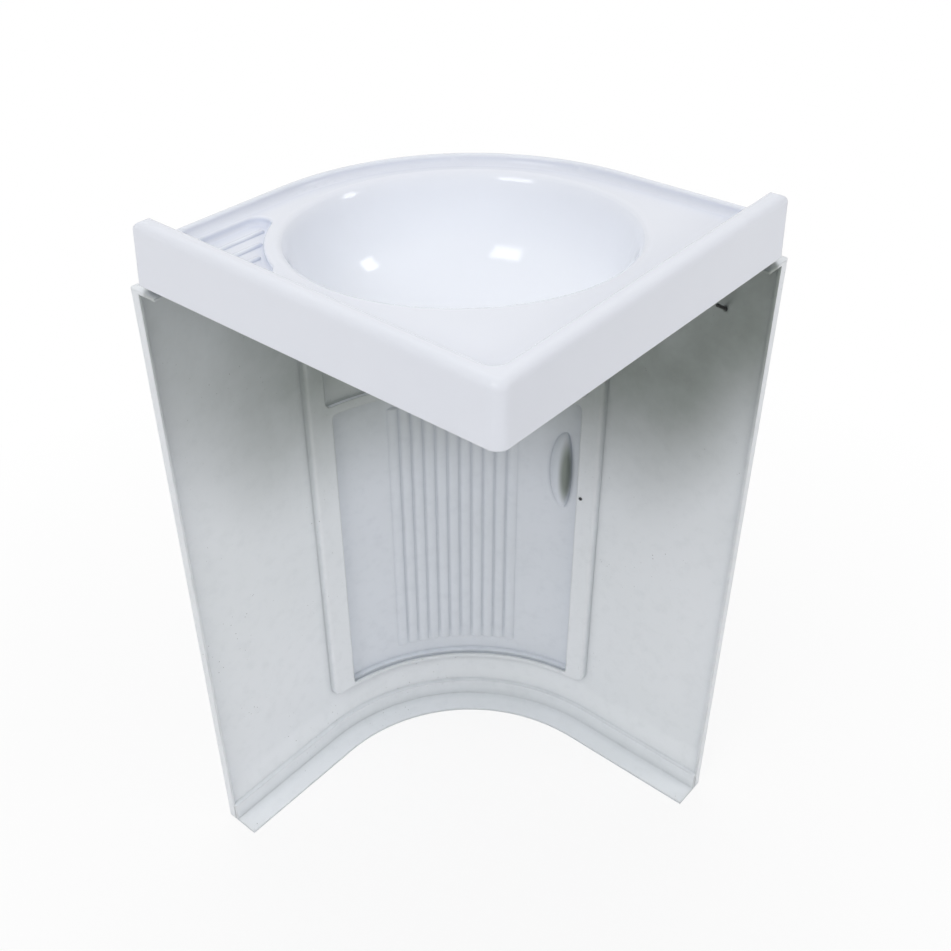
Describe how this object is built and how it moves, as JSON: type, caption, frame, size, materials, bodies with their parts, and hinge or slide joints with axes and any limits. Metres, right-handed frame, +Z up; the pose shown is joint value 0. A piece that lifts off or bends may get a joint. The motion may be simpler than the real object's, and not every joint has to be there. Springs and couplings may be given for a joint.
{
  "type": "corner basin",
  "caption": "Corner wash basin with a sunken oval bowl, soap dish and wall upstands, on a hollow corner pedestal with a curved hinged door.",
  "frame": {"origin": "centre of the overall box at floor level", "axes": "+Z up; +Y towards the room corner, so the curved front and its door face -Y; +X towards the soap dish and the hinge side of the door"},
  "size_m": [0.6514, 0.5384, 0.8759],
  "materials": {
    "pedestal": "satin moulded",
    "basin": "gloss moulded",
    "door": "satin moulded",
    "waste": "gloss",
    "seal": "matte",
    "buffer": "matte",
    "block": "matte",
    "screw": "zinc plated",
    "side_screw": "black",
    "hinge": "satin",
    "pin": "drawn",
    "strike": "zinc plated",
    "magnet": "matte"
  },
  "bodies": {
    "cabinet": {"pedestal_shell": "pedestal", "basin_moulding": "basin", "waste_body": "waste", "flange_gasket": "seal", "waste_seal": "seal", "waste_back_nut": "waste", "fixing_blocks": "block", "block_screws": "screw", "side_screw": "side_screw", "hinge_frame_leaf": "hinge", "hinge_pin": "pin", "strike_plate": "strike", "strike_rivet": "strike", "door_buffers": "buffer"},
    "door": {"door_panel": "door", "hinge_door_leaf": "hinge", "door_magnet": "magnet"}
  },
  "joints": [
    {"name": "door_hinge", "type": "hinge", "parent": "cabinet", "child": "door", "pos_m": [0.16499, -0.20268, 0.311], "axis": [0, 0, 1], "range_deg": [0, 100]}
  ]
}
